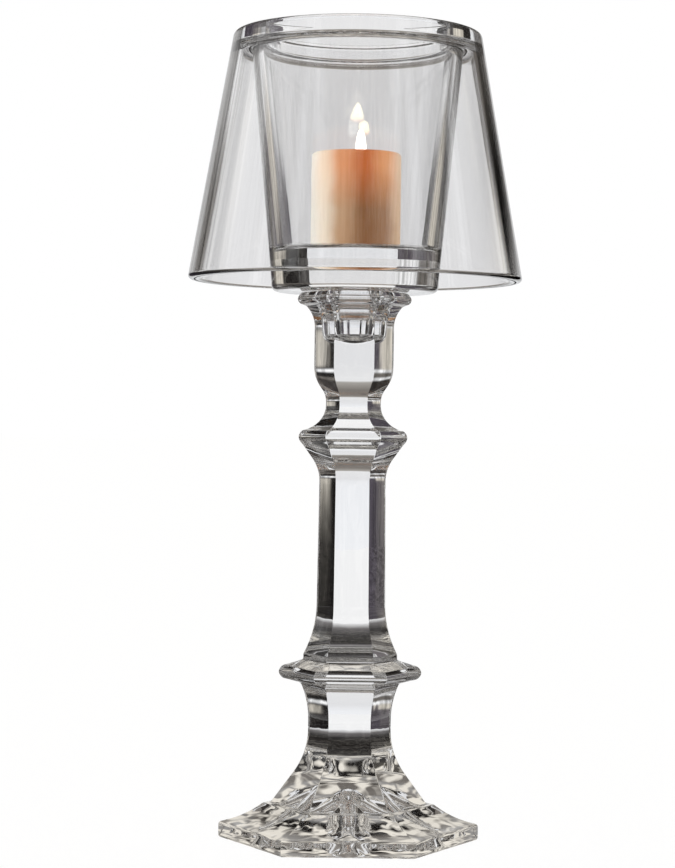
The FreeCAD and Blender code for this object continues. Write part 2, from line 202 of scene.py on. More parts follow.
def card_look(name, measure, reach, stops, second_tone=None, second_share=0.5):
    """A card whose tone runs along its height or its distance from the lamp, up to a reach. A second tone may
    break it, in upright streaks or, on a level card, in patches."""
    look = bpy.data.materials.new(name)
    look.use_nodes = True
    nodes, links = look.node_tree.nodes, look.node_tree.links
    nodes.clear()
    place = nodes.new("ShaderNodeTexCoord")
    apart = nodes.new("ShaderNodeSeparateXYZ")
    links.new(place.outputs["Object"], apart.inputs[0])
    flat = nodes.new("ShaderNodeVectorMath")
    flat.operation = "MULTIPLY"
    flat.inputs[1].default_value = (1, 1, 0)
    links.new(place.outputs["Object"], flat.inputs[0])
    distance = nodes.new("ShaderNodeVectorMath")
    distance.operation = "LENGTH"
    links.new(flat.outputs[0], distance.inputs[0])
    scaled = nodes.new("ShaderNodeMath")
    scaled.operation = "DIVIDE"
    scaled.use_clamp = True
    links.new(apart.outputs["Z"] if measure == "height" else distance.outputs["Value"], scaled.inputs[0])
    scaled.inputs[1].default_value = reach
    ramp = nodes.new("ShaderNodeValToRGB")
    points = ramp.color_ramp.elements
    while len(points) < len(stops):
        points.new(0.5)
    for point, (at, colour) in zip(points, stops):
        point.position = at / reach
        point.color = (*colour, 1)
    links.new(scaled.outputs[0], ramp.inputs[0])
    tone = ramp.outputs[0]
    if second_tone:
        noise = nodes.new("ShaderNodeTexNoise")
        noise.inputs["Detail"].default_value = 1.0
        if measure == "height":
            turn = nodes.new("ShaderNodeMath")
            turn.operation = "ARCTAN2"
            links.new(apart.outputs["X"], turn.inputs[0])
            links.new(apart.outputs["Y"], turn.inputs[1])
            stretched = nodes.new("ShaderNodeMath")
            stretched.operation = "MULTIPLY"
            stretched.inputs[1].default_value = STREAK_STRETCH
            links.new(apart.outputs["Z"], stretched.inputs[0])
            unrolled = nodes.new("ShaderNodeCombineXYZ")
            links.new(turn.outputs[0], unrolled.inputs[0])
            links.new(stretched.outputs[0], unrolled.inputs[1])
            noise.inputs["Scale"].default_value = STREAKS_PER_RADIAN
            links.new(unrolled.outputs[0], noise.inputs["Vector"])
            softness = 0.03
        else:
            noise.inputs["Scale"].default_value = PATCHES_ACROSS / reach
            noise.inputs["Distortion"].default_value = 1.0
            links.new(place.outputs["Object"], noise.inputs["Vector"])
            softness = 0.08
        edge = nodes.new("ShaderNodeMapRange")
        edge.inputs["From Min"].default_value = 1 - second_share - softness
        edge.inputs["From Max"].default_value = 1 - second_share + softness
        links.new(noise.outputs["Fac"], edge.inputs["Value"])
        blend = nodes.new("ShaderNodeMix")
        blend.data_type = "RGBA"
        blend.inputs[7].default_value = (*second_tone, 1)
        links.new(edge.outputs[0], blend.inputs[0])
        links.new(tone, blend.inputs[6])
        tone = blend.outputs[2]
    glow_for_glass(nodes, links, tone)
    return look


# Tones of the cards, then the heights in metres where a card's tone changes.
BLACK = (0.005, 0.004, 0.004)
DARK = (0.035, 0.030, 0.027)
SMOKE = (0.085, 0.080, 0.078)
ASH = (0.16, 0.145, 0.13)
CREAM = (0.72, 0.67, 0.58)
PLUM = (0.085, 0.074, 0.092)
LIGHT_PLUM = (0.125, 0.113, 0.120)
GREY = (0.34, 0.33, 0.32)
WHITE = (1.0, 1.0, 1.0)
LEDGE, LOW, MIDDLE, HIGH, TOP, ABOVE = 0.22, 0.33, 0.42, 0.56, 0.8, 0.95
near_rim, far_rim = (0.34, CARD_FOOT), (CARD_RADIUS, CARD_FOOT)

# the bright backdrop straight behind the lamp
backdrop = card_look("backdrop", "height", 1.4, [
    (0.0, (0.97, 0.98, 1.0)), (0.08, (0.95, 0.96, 0.98)), (0.26, (0.84, 0.84, 0.85)),
    (0.85, (0.88, 0.88, 0.88)), (0.95, (0.40, 0.38, 0.35)), (1.4, (0.22, 0.20, 0.18))])
place_card("backdrop", turns_between(-18, 22), [(CARD_RADIUS, 0.0), (CARD_RADIUS, CARD_TOP)], backdrop)

# The walls beside the backdrop: for each field of turns, the heights where a tone begins, one table for below
# MIDDLE and one for above.
LOW_TONES = [
    (-38, -18, ((0, PLUM),)),
    (-54, -38, ((0, LIGHT_PLUM), (LEDGE, CREAM))),
    (-62, -54, ((0, SMOKE), (LEDGE, WHITE))),
    (-72, -62, ((0, SMOKE), (LOW, GREY))),
    (-98, -72, ((0, BLACK), (LEDGE, WHITE))),
    (22, 39, ((0, BLACK),)),
    (39, 58, ((0, BLACK), (0.05, CREAM), (LOW, SMOKE))),
    (58, 92, ((0, SMOKE), (LOW, GREY))),
]
HIGH_TONES = [
    (-33, -18, ((0, WHITE), (ABOVE, DARK))),
    (-46, -33, ((0, WHITE), (HIGH, ASH), (TOP, WHITE), (ABOVE, DARK))),
    (-62, -46, ((0, WHITE), (HIGH, GREY), (ABOVE, DARK))),
    (-72, -62, ((0, GREY),)),
    (-98, -72, ((0, WHITE),)),
    (22, 27, ((0, WHITE), (HIGH, SMOKE), (TOP, ASH), (ABOVE, DARK))),
    (27, 46, ((0, WHITE), (HIGH, BLACK), (TOP, ASH), (ABOVE, DARK))),
    (46, 92, ((0, GREY), (HIGH, CREAM), (TOP, ASH))),
]
TURN_BLUR = 0.7
HEIGHT_BLUR = 1.6


def wall_tones(turns, heights):
    """A grid of colours, one row for each height and one column for each turn: the tone of the tables' field,
    then each direction softened by a bell curve, exp(-(k / blur)^2 / 2) over the k-th neighbour."""
    tones = np.zeros((len(heights), len(turns), 3))
    for row, height in enumerate(heights):
        table = LOW_TONES if height < MIDDLE else HIGH_TONES
        for column, turn in enumerate(turns):
            levels = next(levels for start, end, levels in table if start <= turn <= end)
            tones[row, column] = [tone for base, tone in levels if base <= height][-1]
    for axis, blur in ((0, HEIGHT_BLUR), (1, TURN_BLUR)):
        reach = int(4 * blur)
        bell = np.exp(-(np.arange(-reach, reach + 1) / blur) ** 2 / 2)
        bell /= bell.sum()
        padded = np.pad(tones, [(reach, reach) if a == axis else (0, 0) for a in range(3)], mode="edge")
        tones = np.apply_along_axis(lambda line: np.convolve(line, bell, "valid"), axis, padded)
    return tones


def wall_look():
    """The walls' look: the tone that their points carry, made lighter and darker in faint upright streaks."""
    look = bpy.data.materials.new("card_wall")
    look.use_nodes = True
    nodes, links = look.node_tree.nodes, look.node_tree.links
    nodes.clear()
    tone = nodes.new("ShaderNodeAttribute")
    tone.attribute_name = "tone"
    place = nodes.new("ShaderNodeTexCoord")
    stretched = nodes.new("ShaderNodeMapping")
    stretched.inputs["Scale"].default_value = (1, 1, 0.08)
    streaks = nodes.new("ShaderNodeTexNoise")
    streaks.inputs["Scale"].default_value = 14
    streaks.inputs["Detail"].default_value = 3.0
    lightness = nodes.new("ShaderNodeMapRange")
    lightness.inputs["From Min"].default_value = 0.35
    lightness.inputs["From Max"].default_value = 0.65
    lightness.inputs["To Min"].default_value = 0.55
    lightness.inputs["To Max"].default_value = 1.25
    scaled = nodes.new("ShaderNodeVectorMath")
    scaled.operation = "SCALE"
    links.new(place.outputs["Object"], stretched.inputs["Vector"])
    links.new(stretched.outputs[0], streaks.inputs["Vector"])
    links.new(streaks.outputs["Fac"], lightness.inputs["Value"])
    links.new(tone.outputs["Color"], scaled.inputs[0])
    links.new(lightness.outputs[0], scaled.inputs["Scale"])
    glow_for_glass(nodes, links, scaled.outputs[0])
    return look


wall_glow = wall_look()
wall_heights = np.append(np.arange(0.0, 1.42, 0.02), CARD_TOP)
wall_circles = [near_rim, *((CARD_RADIUS, max(height, CARD_FOOT)) for height in wall_heights)]
for start, end in ((-98, -18), (22, 92)):
    turns = np.linspace(start, end, end - start + 1)
    tones = wall_tones(turns, np.append(0.0, wall_heights))
    place_card(f"card_wall_{start}", turns, wall_circles, wall_glow, tones)

# the dim room behind the camera, the canopy over the lamp, and under and round its foot floor cards of
# painted shade that only the glass sees
dim = card_look("dim_room", "height", 1.0, [(0.0, DARK), (1.0, (0.20, 0.19, 0.18))], (0.62, 0.59, 0.54), 0.45)
for side in (-1, 1):
    for start, end in ((100, 130), (138, 180)):
        span = sorted((side * start, side * end))
        place_card(f"room_{span[0]}", turns_between(*span), [near_rim, far_rim, (CARD_RADIUS, CARD_TOP)], dim)
canopy_tone = (0.10, 0.085, 0.07)
canopy = card_look("canopy", "distance", CARD_RADIUS, [(0.0, canopy_tone), (CARD_RADIUS, canopy_tone)],
                   (0.80, 0.76, 0.70), 0.5)
place_card("canopy", turns_between(-180, 180), [(0.02, CARD_TOP), (CARD_RADIUS, CARD_TOP)], canopy)
# Painted shade under the foot: grey in the middle, a black ring, then ash and grey, broken by pale patches.
under_foot = card_look("under_foot", "distance", 0.06, [
    (0.0, GREY), (0.013, GREY), (0.017, BLACK), (0.03, BLACK), (0.035, ASH), (0.046, GREY), (0.05, ASH),
    (0.06, ASH)], (0.88, 0.83, 0.74), 0.47)
UNDER_FOOT_REACH = 0.058
under_rim = (UNDER_FOOT_REACH, CARD_FOOT)
place_card("under_foot", turns_between(-180, 180), [(0.0, CARD_FOOT), under_rim], under_foot)
# Painted shade round the foot: black at the foot, dark out to 0.27 m and pale from 0.34 m on.
table = card_look("table", "distance", 0.4, [
    (0.0, BLACK), (0.14, (0.012, 0.010, 0.009)), (0.20, (0.035, 0.033, 0.033)), (0.27, (0.17, 0.16, 0.16)),
    (0.34, (0.85, 0.85, 0.85))])
place_card("table", turns_between(-180, 180), [under_rim, near_rim], table)

# ---------------------------------------------------------------- candlestick
# One piece of clear pressed glass, six-sided from the foot to the rim of its socket. Its corners are rounded
# by fire polishing, and a star of flutes is pressed into the underside of the foot. From here on, shapes are
# given in millimetres.
MM = 0.001
CORNER_SHARE = math.cos(math.pi / 6)
FACET_WIDTH_SHARE = math.tan(math.pi / 6)
PROFILE_STEP = 0.05


def surface_mesh(name, points, poles=None):
    """Mesh of a grid of points in millimetres: each row runs once round the axis. Two poles close the first
    and the last row; with none the last row meets the first. Its faces look outward."""
    rows, columns = points.shape[:2]
    vertices = points.reshape(-1, 3)
    last = rows if poles is None else rows - 1
    row, column = np.meshgrid(np.arange(last), np.arange(columns), indexing="ij")
    after, beside = (row + 1) % rows, (column + 1) % columns
    quads = np.stack([row * columns + column, row * columns + beside,
                      after * columns + beside, after * columns + column], axis=-1).reshape(-1, 4)
    faces = quads.tolist()
    if poles is not None:
        vertices = np.concatenate([vertices, np.array(poles, dtype=float)])
        near = np.arange(columns)
        beside = (near + 1) % columns
        first, final = rows * columns, rows * columns + 1
        faces += np.stack([beside, near, np.full(columns, first)], axis=1).tolist()
        base = (rows - 1) * columns
        faces += np.stack([base + near, base + beside, np.full(columns, final)], axis=1).tolist()
    mesh = bpy.data.meshes.new(name)
    mesh.from_pydata((vertices * MM).tolist(), [], faces)
    mesh.update()
    corner = np.empty(len(mesh.vertices) * 3)
    mesh.vertices.foreach_get("co", corner)
    corner = corner.reshape(-1, 3)
    mesh.calc_loop_triangles()
    triangles = np.empty(len(mesh.loop_triangles) * 3, dtype=int)
    mesh.loop_triangles.foreach_get("vertices", triangles)
    a, b, c = (corner[triangles.reshape(-1, 3)[:, k]] for k in range(3))
    volume = np.einsum("ij,ij->i", a, np.cross(b, c)).sum()
    if volume < 0:
        mesh.flip_normals()
    mesh.shade_smooth()
    return mesh


def walk(stages, start):
    """Reach of the facets and height along them, in short steps. Each stage gives the corner radius reached,
    the rise and how the run between goes: straight, an arc upright at one end, or a bulge."""
    across, up = [start[0] * CORNER_SHARE], [start[1]]
    for radius, rise, run, bulge in stages:
        x0, z0 = across[-1], up[-1]
        x1, z1 = radius * CORNER_SHARE, z0 + rise
        count = max(int(math.hypot(x1 - x0, z1 - z0) / PROFILE_STEP), 2)
        t = np.linspace(0, 1, count + 1)[1:]
        if run in ("start", "end") and x0 != x1:
            arc_radius = ((x1 - x0) ** 2 + rise**2) / (2 * abs(x1 - x0))
            outward = math.copysign(1, x1 - x0)
            if run == "start":
                turn = t * math.asin(rise / arc_radius) if arc_radius >= rise else t * math.pi / 2
                xs = x0 + outward * arc_radius * (1 - np.cos(turn))
                zs = z0 + arc_radius * np.sin(turn)
            else:
                turn = (1 - t) * math.asin(min(rise / arc_radius, 1))
                xs = x1 - outward * arc_radius * (1 - np.cos(turn))
                zs = z1 - arc_radius * np.sin(turn)
        else:
            xs, zs = x0 + (x1 - x0) * t, z0 + rise * t
            if run in ("raised", "sunk"):
                sag = bulge * (CORNER_SHARE if run == "raised" else -1)
                length = math.hypot(x1 - x0, rise)
                off = sag * 4 * t * (1 - t)
                xs, zs = xs + off * rise / length, zs - off * (x1 - x0) / length
        across += list(xs)
        up += list(zs)
    return np.array(across), np.array(up)


def fire_polish(across, up, softness):
    """The same profile with its corners softened: evenly spaced, then blurred with a bell curve. The ends are
    carried on straight, so that they stay where they are."""
    run = np.concatenate([[0], np.cumsum(np.hypot(np.diff(across), np.diff(up)))])
    count = int(run[-1] / PROFILE_STEP)
    place = np.linspace(0, run[-1], count)
    reach = int(4 * softness / PROFILE_STEP)
    bell = np.exp(-0.5 * (np.arange(-reach, reach + 1) * PROFILE_STEP / softness) ** 2)
    bell /= bell.sum()
    smooth = []
    for line in (np.interp(place, run, across), np.interp(place, run, up)):
        before = 2 * line[0] - line[reach:0:-1]
        behind = 2 * line[-1] - line[-2:-reach - 2:-1]
        smooth.append(np.convolve(np.concatenate([before, line, behind]), bell, mode="valid"))
    return smooth


def thin_out(across, up, count):
    """Keeps as many points of a profile as asked, close together where it turns and far apart where it runs
    straight: a run of SPACING counts for as much as a turn of BEND."""
    step_x, step_z = np.diff(across), np.diff(up)
    heading = np.unwrap(np.arctan2(step_z, step_x))
    weight = np.hypot(step_x, step_z) / SPACING + np.abs(np.gradient(heading)) / BEND
    measure = np.concatenate([[0], np.cumsum(weight)])
    place = np.linspace(0, measure[-1], count)
    return np.interp(place, measure, across), np.interp(place, measure, up)


SPACING = 2.6
BEND = math.radians(7)
# degrees from a corner to the columns of points, which stand close together near it
CORNER_SPREAD = [0, 0.12, 0.25, 0.4, 0.6, 0.9, 1.3, 1.8, 2.5, 4, 7, 12, 18, 24]
half = np.array(CORNER_SPREAD + [30.0])
FROM_CORNER = np.concatenate([half, (60 - half[::-1])[1:-1]])
AROUND = np.radians(np.concatenate([60 * side + FROM_CORNER for side in range(6)]))
# Facets that reach no further out than BELLY_FULL swell by FACET_BELLY in their middle. The swell is gone
# from BELLY_GONE on, and wherever the corners' rounding is at its limit or more, as in the socket.
FACET_BELLY = 0.16
BELLY_FULL, BELLY_GONE = 30, 40
BELLY_ROUNDING_LIMIT = 2


def hexagon_rows(apothem, height, rounding):
    """Points of a rounded hexagon at each height. In the sixth of a turn round a facet's middle, the edge is
    the facet's line, swollen by the belly times 1 - (distance aside / half the facet's width)^2, or near a
    corner the arc of the rounding, whose centre lies on the corner's line."""
    apothem, height, rounding = (np.asarray(x, dtype=float)[:, None] for x in (apothem, height, rounding))
    turn = np.abs(AROUND[None, :] % (math.pi / 3) - math.pi / 6)
    centre = (apothem - rounding) / CORNER_SHARE
    to_corner = math.pi / 6 - turn
    width = apothem * FACET_WIDTH_SHARE
    belly = FACET_BELLY * np.clip((BELLY_GONE - apothem) / (BELLY_GONE - BELLY_FULL), 0, 1)
    swell = belly * (1 - np.clip(apothem * np.tan(turn) / width, 0, 1) ** 2)
    flat = (apothem + np.where(rounding < BELLY_ROUNDING_LIMIT, swell, 0)) / np.cos(turn)
    inside = np.maximum(rounding**2 - (centre * np.sin(to_corner)) ** 2, 0)
    arc = centre * np.cos(to_corner) + np.sqrt(inside)
    on_flat = apothem * np.tan(turn) <= (apothem - rounding) * FACET_WIDTH_SHARE + 1e-9
    radius = np.where(on_flat, flat, arc)
    level = np.broadcast_to(height, radius.shape)
    return np.stack([radius * np.cos(AROUND), radius * np.sin(AROUND), level], axis=-1)


# Stages of the outline from the floor up: foot, ledge, skirt, leg, collar, column, knop, waist, bell and rim.
FOOT_ROUND = 1.1
STAGES = [
    (55.25, FOOT_ROUND, "end", 0), (55.25, 4.8, "straight", 0), (54.15, FOOT_ROUND, "start", 0),
    (36.3, 8.1, "sunk", 1.1), (33.3, 0.0, "straight", 0), (23.5, 13.3, "straight", 0),
    (17.6, 18.0, "end", 0), (17.6, 4.0, "straight", 0), (20.9, 15.6, "start", 0),
    (28.6, 2.1, "straight", 0), (28.6, 5.5, "raised", 1.8), (20.0, 2.6, "straight", 0),
    (20.0, 2.4, "straight", 0), (14.6, 21.4, "end", 0), (14.1, 52.0, "straight", 0),
    (16.8, 9.0, "start", 0), (21.6, 6.7, "straight", 0), (21.6, 5.8, "raised", 1.6),
    (11.7, 10.7, "end", 0), (11.7, 1.6, "straight", 0), (13.4, 5.2, "start", 0),
    (16.9, 9.5, "end", 0), (16.9, 17.0, "straight", 0), (20.5, 8.8, "start", 0),
    (23.1, 0.9, "straight", 0), (23.1, 4.1, "raised", 1.2), (22.3, 0.8, "start", 0),
]
STEM_TOP = sum(stage[1] for stage in STAGES)
POLISH = 0.45
across, up = walk(STAGES, (54.15, 0.0))
across, up = fire_polish(across, up, POLISH)
across, up = thin_out(across, up, 250)
outside = hexagon_rows(across, up, np.minimum(POLISH, across * 0.03))

# socket: from the rim's inner edge down to a bowl-shaped floor, all round
SOCKET_RADIUS, SOCKET_FOOT_RADIUS, SOCKET_DEPTH, SOCKET_LEAD = 11.2, 9.4, 22.0, 1.0
BOWL_DEPTH = 4.5
RIM_ROUNDING = 0.9
inner_edge = across[-1]
rim_run = np.linspace(0, 1, 8)[1:]
rim_apothem = inner_edge + (SOCKET_RADIUS + SOCKET_LEAD - inner_edge) * rim_run
rim_rounding = RIM_ROUNDING + (rim_apothem[-1] - RIM_ROUNDING) * rim_run**2
rim_rows = hexagon_rows(rim_apothem, np.full(len(rim_run), STEM_TOP), rim_rounding)
lead = np.radians(np.linspace(0, 90, 7)[1:])
bowl = np.radians(np.linspace(0, 86, 16))
socket_radius = np.concatenate([
    SOCKET_RADIUS + SOCKET_LEAD * (1 - np.sin(lead)),
    np.linspace(SOCKET_RADIUS - 0.12, SOCKET_FOOT_RADIUS + 0.12, 6),
    SOCKET_FOOT_RADIUS * np.cos(bowl),
])
socket_height = np.concatenate([
    STEM_TOP - SOCKET_LEAD * (1 - np.cos(lead)),
    STEM_TOP - np.linspace(2.5, SOCKET_DEPTH - BOWL_DEPTH - 0.4, 6),
    STEM_TOP - SOCKET_DEPTH + BOWL_DEPTH * (1 - np.sin(bowl)),
])
socket_rows = hexagon_rows(socket_radius, socket_height, socket_radius)

# underside: a star of six round-bottomed flutes, one under each facet, that meet at a peak
FLUTE_RADIUS, FLUTE_REACH, FLUTE_PEAK = 9.0, 44.0, 17.0
RIDGE_SOFTNESS = 0.35


def underside(x, y):
    """Height of the star over a point of the foot: the highest of six sloping half-round flutes and nought,
    blended as softness times the logarithm of the sum of exp(height / softness)."""
    slope = math.atan(FLUTE_PEAK / FLUTE_REACH)
    heights = [np.zeros_like(x)]
    for side in range(6):
        aim = math.radians(60 * side + 30)
        along = x * math.cos(aim) + y * math.sin(aim)
        aside = -x * math.sin(aim) + y * math.cos(aim)
        dome = np.sqrt(np.maximum(FLUTE_RADIUS**2 - aside**2, 0)) / math.cos(slope)
        top = FLUTE_PEAK - FLUTE_RADIUS / math.cos(slope) - along * math.tan(slope) + dome
        heights.append(np.where((np.abs(aside) < FLUTE_RADIUS) & (along > -2), top, 0))
    heights = np.stack(heights)
    peak = heights.max(axis=0)
    blended = peak + RIDGE_SOFTNESS * np.log(np.exp((heights - peak) / RIDGE_SOFTNESS).sum(axis=0))
    return np.maximum(blended - RIDGE_SOFTNESS * math.log(len(heights)), 0)


# rings from the star's peak to past its flutes, round in the middle and six-sided further out
below = np.concatenate([np.linspace(0.8, 20, 26), np.linspace(20.7, 46, 34), [46.2]])
below_rounding = np.clip(below * 0.9 * (1 - below / 40), 0.9, below)
under_rows = hexagon_rows(below, np.zeros(len(below)), below_rounding)
under_rows[..., 2] = underside(under_rows[..., 0], under_rows[..., 1])
grid = np.concatenate([under_rows, outside, rim_rows, socket_rows])
candlestick = link_object("candlestick_glass", surface_mesh(
    "candlestick_glass", grid, ((0, 0, FLUTE_PEAK), (0, 0, STEM_TOP - SOCKET_DEPTH))))


FINE_WAVES = 3.7


def ripple_group():
    """Shader node group for the wavy skin of pressed glass: slow waves on Object coordinates, and finer ones
    by FINE_WAVES, added by their share."""
    group = bpy.data.node_groups.new("glass_skin", "ShaderNodeTree")
    for label in ("Wave Size", "Upright Stretch", "Fine Share"):
        group.interface.new_socket(label, in_out="INPUT", socket_type="NodeSocketFloat")
    group.interface.new_socket("Height", in_out="OUTPUT", socket_type="NodeSocketFloat")
    nodes, links = group.nodes, group.links
    entry, leave = nodes.new("NodeGroupInput"), nodes.new("NodeGroupOutput")
    place = nodes.new("ShaderNodeTexCoord")
    stretch = nodes.new("ShaderNodeCombineXYZ")
    stretch.inputs["X"].default_value = 1
    stretch.inputs["Y"].default_value = 1
    links.new(entry.outputs["Upright Stretch"], stretch.inputs["Z"])
    scaled = nodes.new("ShaderNodeVectorMath")
    scaled.operation = "MULTIPLY"
    links.new(place.outputs["Object"], scaled.inputs[0])
    links.new(stretch.outputs[0], scaled.inputs[1])
    slow = nodes.new("ShaderNodeTexNoise")
    slow.inputs["Detail"].default_value = 0.0
    links.new(scaled.outputs[0], slow.inputs["Vector"])
    links.new(entry.outputs["Wave Size"], slow.inputs["Scale"])
    fine = nodes.new("ShaderNodeTexNoise")
    fine.inputs["Detail"].default_value = 1.0
    links.new(scaled.outputs[0], fine.inputs["Vector"])
    more = nodes.new("ShaderNodeMath")
    more.operation = "MULTIPLY"
    more.inputs[1].default_value = FINE_WAVES
    links.new(entry.outputs["Wave Size"], more.inputs[0])
    links.new(more.outputs[0], fine.inputs["Scale"])
    part = nodes.new("ShaderNodeMath")
    part.operation = "MULTIPLY"
    links.new(fine.outputs["Fac"], part.inputs[0])
    links.new(entry.outputs["Fine Share"], part.inputs[1])
    add = nodes.new("ShaderNodeMath")
    add.operation = "ADD"
    links.new(slow.outputs["Fac"], add.inputs[0])
    links.new(part.outputs[0], add.inputs[1])
    links.new(add.outputs[0], leave.inputs["Height"])
    return group


GLASS_SKIN = ripple_group()


def mark_outer_wall(mesh):
    """Marks the points where the surface looks away from the axis, so that the painted dark edge shade falls
    on the outer wall only."""
    mark = mesh.attributes.new("outer_wall", "FLOAT", "POINT")
    for vertex, item in zip(mesh.vertices, mark.data):
        outward = vertex.normal.x * vertex.co.x + vertex.normal.y * vertex.co.y
        item.value = 1.0 if outward > 0 else 0.0


# Painted edge shade: the share of grazing at which its dark tint begins and is full.
EDGE_BEGIN, EDGE_FULL = 0.635, 0.665


def clear_glass(name, tint, index, wave_size, stretch, fine_share, depth, painted_edge_shade=None):
    """Clear glass whose skin ripples a little, so that what is seen through it wavers. Where its outer wall
    is met at a grazing angle it may take a painted dark shade, which draws dark lines along its edges."""
    look = bpy.data.materials.new(name)
    look.use_nodes = True
    nodes, links = look.node_tree.nodes, look.node_tree.links
    shader = nodes["Principled BSDF"]
    shader.inputs["Base Color"].default_value = (*tint, 1)
    shader.inputs["Roughness"].default_value = 0.0
    shader.inputs["IOR"].default_value = index
    shader.inputs["Transmission Weight"].default_value = 1.0
    # Painted shade: the outer wall turns to the darker tint where it is met at a grazing angle.
    if painted_edge_shade:
        weight = nodes.new("ShaderNodeLayerWeight")
        weight.inputs["Blend"].default_value = 0.5
        edge = nodes.new("ShaderNodeMapRange")
        edge.inputs["From Min"].default_value = EDGE_BEGIN
        edge.inputs["From Max"].default_value = EDGE_FULL
        blend = nodes.new("ShaderNodeMix")
        blend.data_type = "RGBA"
        blend.inputs[6].default_value = (*tint, 1)
        blend.inputs[7].default_value = (*painted_edge_shade, 1)
        links.new(weight.outputs["Facing"], edge.inputs["Value"])
        wall = nodes.new("ShaderNodeAttribute")
        wall.attribute_name = "outer_wall"
        both = nodes.new("ShaderNodeMath")
        both.operation = "MULTIPLY"
        links.new(edge.outputs[0], both.inputs[0])
        links.new(wall.outputs["Fac"], both.inputs[1])
        links.new(both.outputs[0], blend.inputs[0])
        links.new(blend.outputs[2], shader.inputs["Base Color"])
    skin = nodes.new("ShaderNodeGroup")
    skin.node_tree = GLASS_SKIN
    skin.inputs["Wave Size"].default_value = wave_size
    skin.inputs["Upright Stretch"].default_value = stretch
    skin.inputs["Fine Share"].default_value = fine_share
    bump = nodes.new("ShaderNodeBump")
    bump.inputs["Strength"].default_value = 1.0
    bump.inputs["Distance"].default_value = depth
    links.new(skin.outputs["Height"], bump.inputs["Height"])
    links.new(bump.outputs[0], shader.inputs["Normal"])
    return look


candlestick.data.materials.append(clear_glass(
    "pressed_glass", tint=(0.955, 0.96, 0.97), index=1.52, wave_size=45, stretch=0.35, fine_share=0.12,
    depth=0.0006))
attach(candlestick, "candlestick")
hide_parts("candlestick")

# ---------------------------------------------------------------- candle cup
# A thick cup of clear glass with a heavy floor, pressed in one piece with the solid peg under it. The peg
# stands loose in the candlestick's socket.
TURN_COLUMNS = 240
ARC_STEP = 9


def rounded_profile(corners):
    """Radius and height along straight runs between corners, each corner an arc of its own rounding with
    short runs each side of it, so that shading stays flat up to the arc. A corner is its radius, height and
    rounding."""
    points = np.array([corner[:2] for corner in corners], dtype=float)
    made = []
    for index, (_, _, rounding) in enumerate(corners):
        here = points[index]
        if rounding == 0:
            made.append(here[None, :])
            continue
        back = points[index - 1] - here
        ahead = points[(index + 1) % len(points)] - here
        back, ahead = back / np.linalg.norm(back), ahead / np.linalg.norm(ahead)
        half_angle = math.acos(np.clip(back @ ahead, -1, 1)) / 2
        to_touch = rounding / math.tan(half_angle)
        middle = back + ahead
        centre = here + middle / np.linalg.norm(middle) * rounding / math.sin(half_angle)
        start, end = here + back * to_touch - centre, here + ahead * to_touch - centre
        sweep = math.atan2(start[0] * end[1] - start[1] * end[0], start @ end)
        turn = np.linspace(0, sweep, max(int(abs(math.degrees(sweep)) / ARC_STEP), 2) + 1)
        arc = centre + np.outer(np.cos(turn), start) + np.outer(np.sin(turn), [-start[1], start[0]])
        lead = min(0.35 * rounding, 0.5)
        made.append(here + back * (to_touch + np.array([[3 * lead], [lead]])))
        made.append(arc)
        made.append(here + ahead * (to_touch + np.array([[lead], [3 * lead]])))
    return np.concatenate(made).T


def turned_rows(radius, height, columns=TURN_COLUMNS):
    """Points of a profile turned about the axis: radius times the cosine and sine of the turn, at their
    height."""
    turn = np.linspace(0, 2 * math.pi, columns, endpoint=False)
    radius, height = radius[:, None], height[:, None]
    level = np.broadcast_to(height, (len(height), columns))
    return np.stack([radius * np.cos(turn), radius * np.sin(turn), level], axis=-1)


SEAT_GAP = 0.2
CUP_LEVEL = STEM_TOP + SEAT_GAP
CUP_RIM = CUP_LEVEL + 102.3
CUP_FLOOR = CUP_LEVEL + 16.3
PEG_TIP = CUP_LEVEL - 12.0
PEG_TIP_RADIUS, PEG_RADIUS = 9.67, 10.7
CUP_FOOT_RADIUS, CUP_MOUTH_RADIUS, CUP_WALL = 35.2, 45.0, 4.6
POLE_HOLE = 0.8
radius, height = rounded_profile([
    (POLE_HOLE, PEG_TIP, 0), (PEG_TIP_RADIUS, PEG_TIP, 1.6), (PEG_RADIUS, CUP_LEVEL, 0.6),
    (CUP_FOOT_RADIUS, CUP_LEVEL, 2.4), (CUP_MOUTH_RADIUS, CUP_RIM, 1.3),
    (CUP_MOUTH_RADIUS - CUP_WALL, CUP_RIM, 1.3), (CUP_FOOT_RADIUS - CUP_WALL, CUP_FLOOR, 2.6),
    (POLE_HOLE, CUP_FLOOR, 0)])
cup = link_object("candle_cup_glass", surface_mesh(
    "candle_cup_glass", turned_rows(radius, height), ((0, 0, PEG_TIP), (0, 0, CUP_FLOOR))))
mark_outer_wall(cup.data)
# The cup's outer wall takes a painted dark shade where it is met at a grazing angle.
cup.data.materials.append(clear_glass(
    "cup_glass", tint=(0.945, 0.945, 0.947), index=1.5, wave_size=30, stretch=0.5, fine_share=0.08,
    depth=0.00008, painted_edge_shade=(0.12, 0.115, 0.11)))
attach(cup, "candle_cup")
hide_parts("candle_cup")

